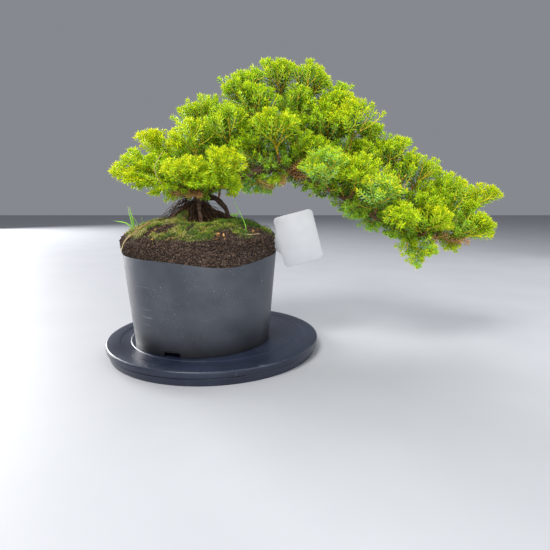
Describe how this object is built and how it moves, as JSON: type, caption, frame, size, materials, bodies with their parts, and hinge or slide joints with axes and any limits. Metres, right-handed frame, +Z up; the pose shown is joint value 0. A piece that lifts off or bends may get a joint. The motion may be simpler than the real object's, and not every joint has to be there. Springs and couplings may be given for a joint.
{
  "type": "potted juniper bonsai on a turntable",
  "caption": "Cascading garden juniper bonsai with needle foliage and exposed roots, in a cut-down nursery pot with a plant label, on a round swivelling turntable.",
  "frame": {"origin": "centre of the turntable's underside, on the surface that it stands on", "axes": "+Z up along the swivel axis, +X to the right towards the cascading end of the trunk, -Y towards the front"},
  "size_m": [0.4515, 0.25, 0.3339],
  "materials": {
    "disc_plastic": "satin blue-black injection-moulded plastic",
    "grip_rubber": "matte soft rubber",
    "bearing_steel": "polished bearing steel",
    "cage_plastic": "matte natural nylon",
    "pot_plastic": "satin dark grey blow-moulded plastic, dusty and scuffed",
    "peat": "granular damp potting soil",
    "bark": "rough flaking bark",
    "needles": "fresh lime-green awl-shaped needles, satin",
    "needles_bluish": "blue-green needles with a waxy bloom, satin",
    "moss_and_grass": "soft moss and grass, matte",
    "label_plastic": "white plastic sheet, slightly soiled"
  },
  "bodies": {
    "base": {"turntable_base": "disc_plastic", "anti_slip_ring": "grip_rubber", "bearing_ball_1": "bearing_steel", "bearing_ball_2": "bearing_steel", "bearing_ball_3": "bearing_steel", "bearing_ball_4": "bearing_steel", "bearing_ball_5": "bearing_steel", "bearing_ball_6": "bearing_steel", "bearing_cage": "cage_plastic", "pivot_pin": "bearing_steel"},
    "turntable": {"turntable_plate": "disc_plastic", "pot": "pot_plastic", "root_ball": "peat", "trunk_and_branches": "bark", "plant_label": "label_plastic", "grass_tuft": "moss_and_grass", "weed_stalk": "moss_and_grass", "foliage_left_tip": "needles", "foliage_left_upper": "needles", "foliage_left_top": "needles", "foliage_left_mid": "needles", "foliage_left_front": "needles", "foliage_left_low": "needles", "foliage_left_back": "needles", "foliage_centre_left": "needles", "foliage_top_left": "needles", "foliage_apex_left": "needles", "foliage_apex_right": "needles", "foliage_centre_front": "needles", "foliage_right_top": "needles", "foliage_right_fan": "needles", "foliage_right_mid": "needles", "foliage_right_slope": "needles", "foliage_outer_fan": "needles", "foliage_outer": "needles", "foliage_end": "needles", "foliage_front_right": "needles_bluish", "foliage_front_mid": "needles", "foliage_front_blue": "needles_bluish", "foliage_front_low": "needles", "foliage_front_outer": "needles", "foliage_hanging": "needles_bluish", "foliage_under_end": "needles", "foliage_under_mid": "needles_bluish", "foliage_under_left": "needles_bluish", "foliage_back_left": "needles", "foliage_back_top_left": "needles", "foliage_back_apex": "needles", "foliage_back_right": "needles", "foliage_back_slope": "needles"}
  },
  "joints": [
    {"name": "swivel", "type": "hinge", "parent": "base", "child": "turntable", "pos_m": [0, 0, 0], "axis": [0, 0, 1], "continuous": true}
  ]
}
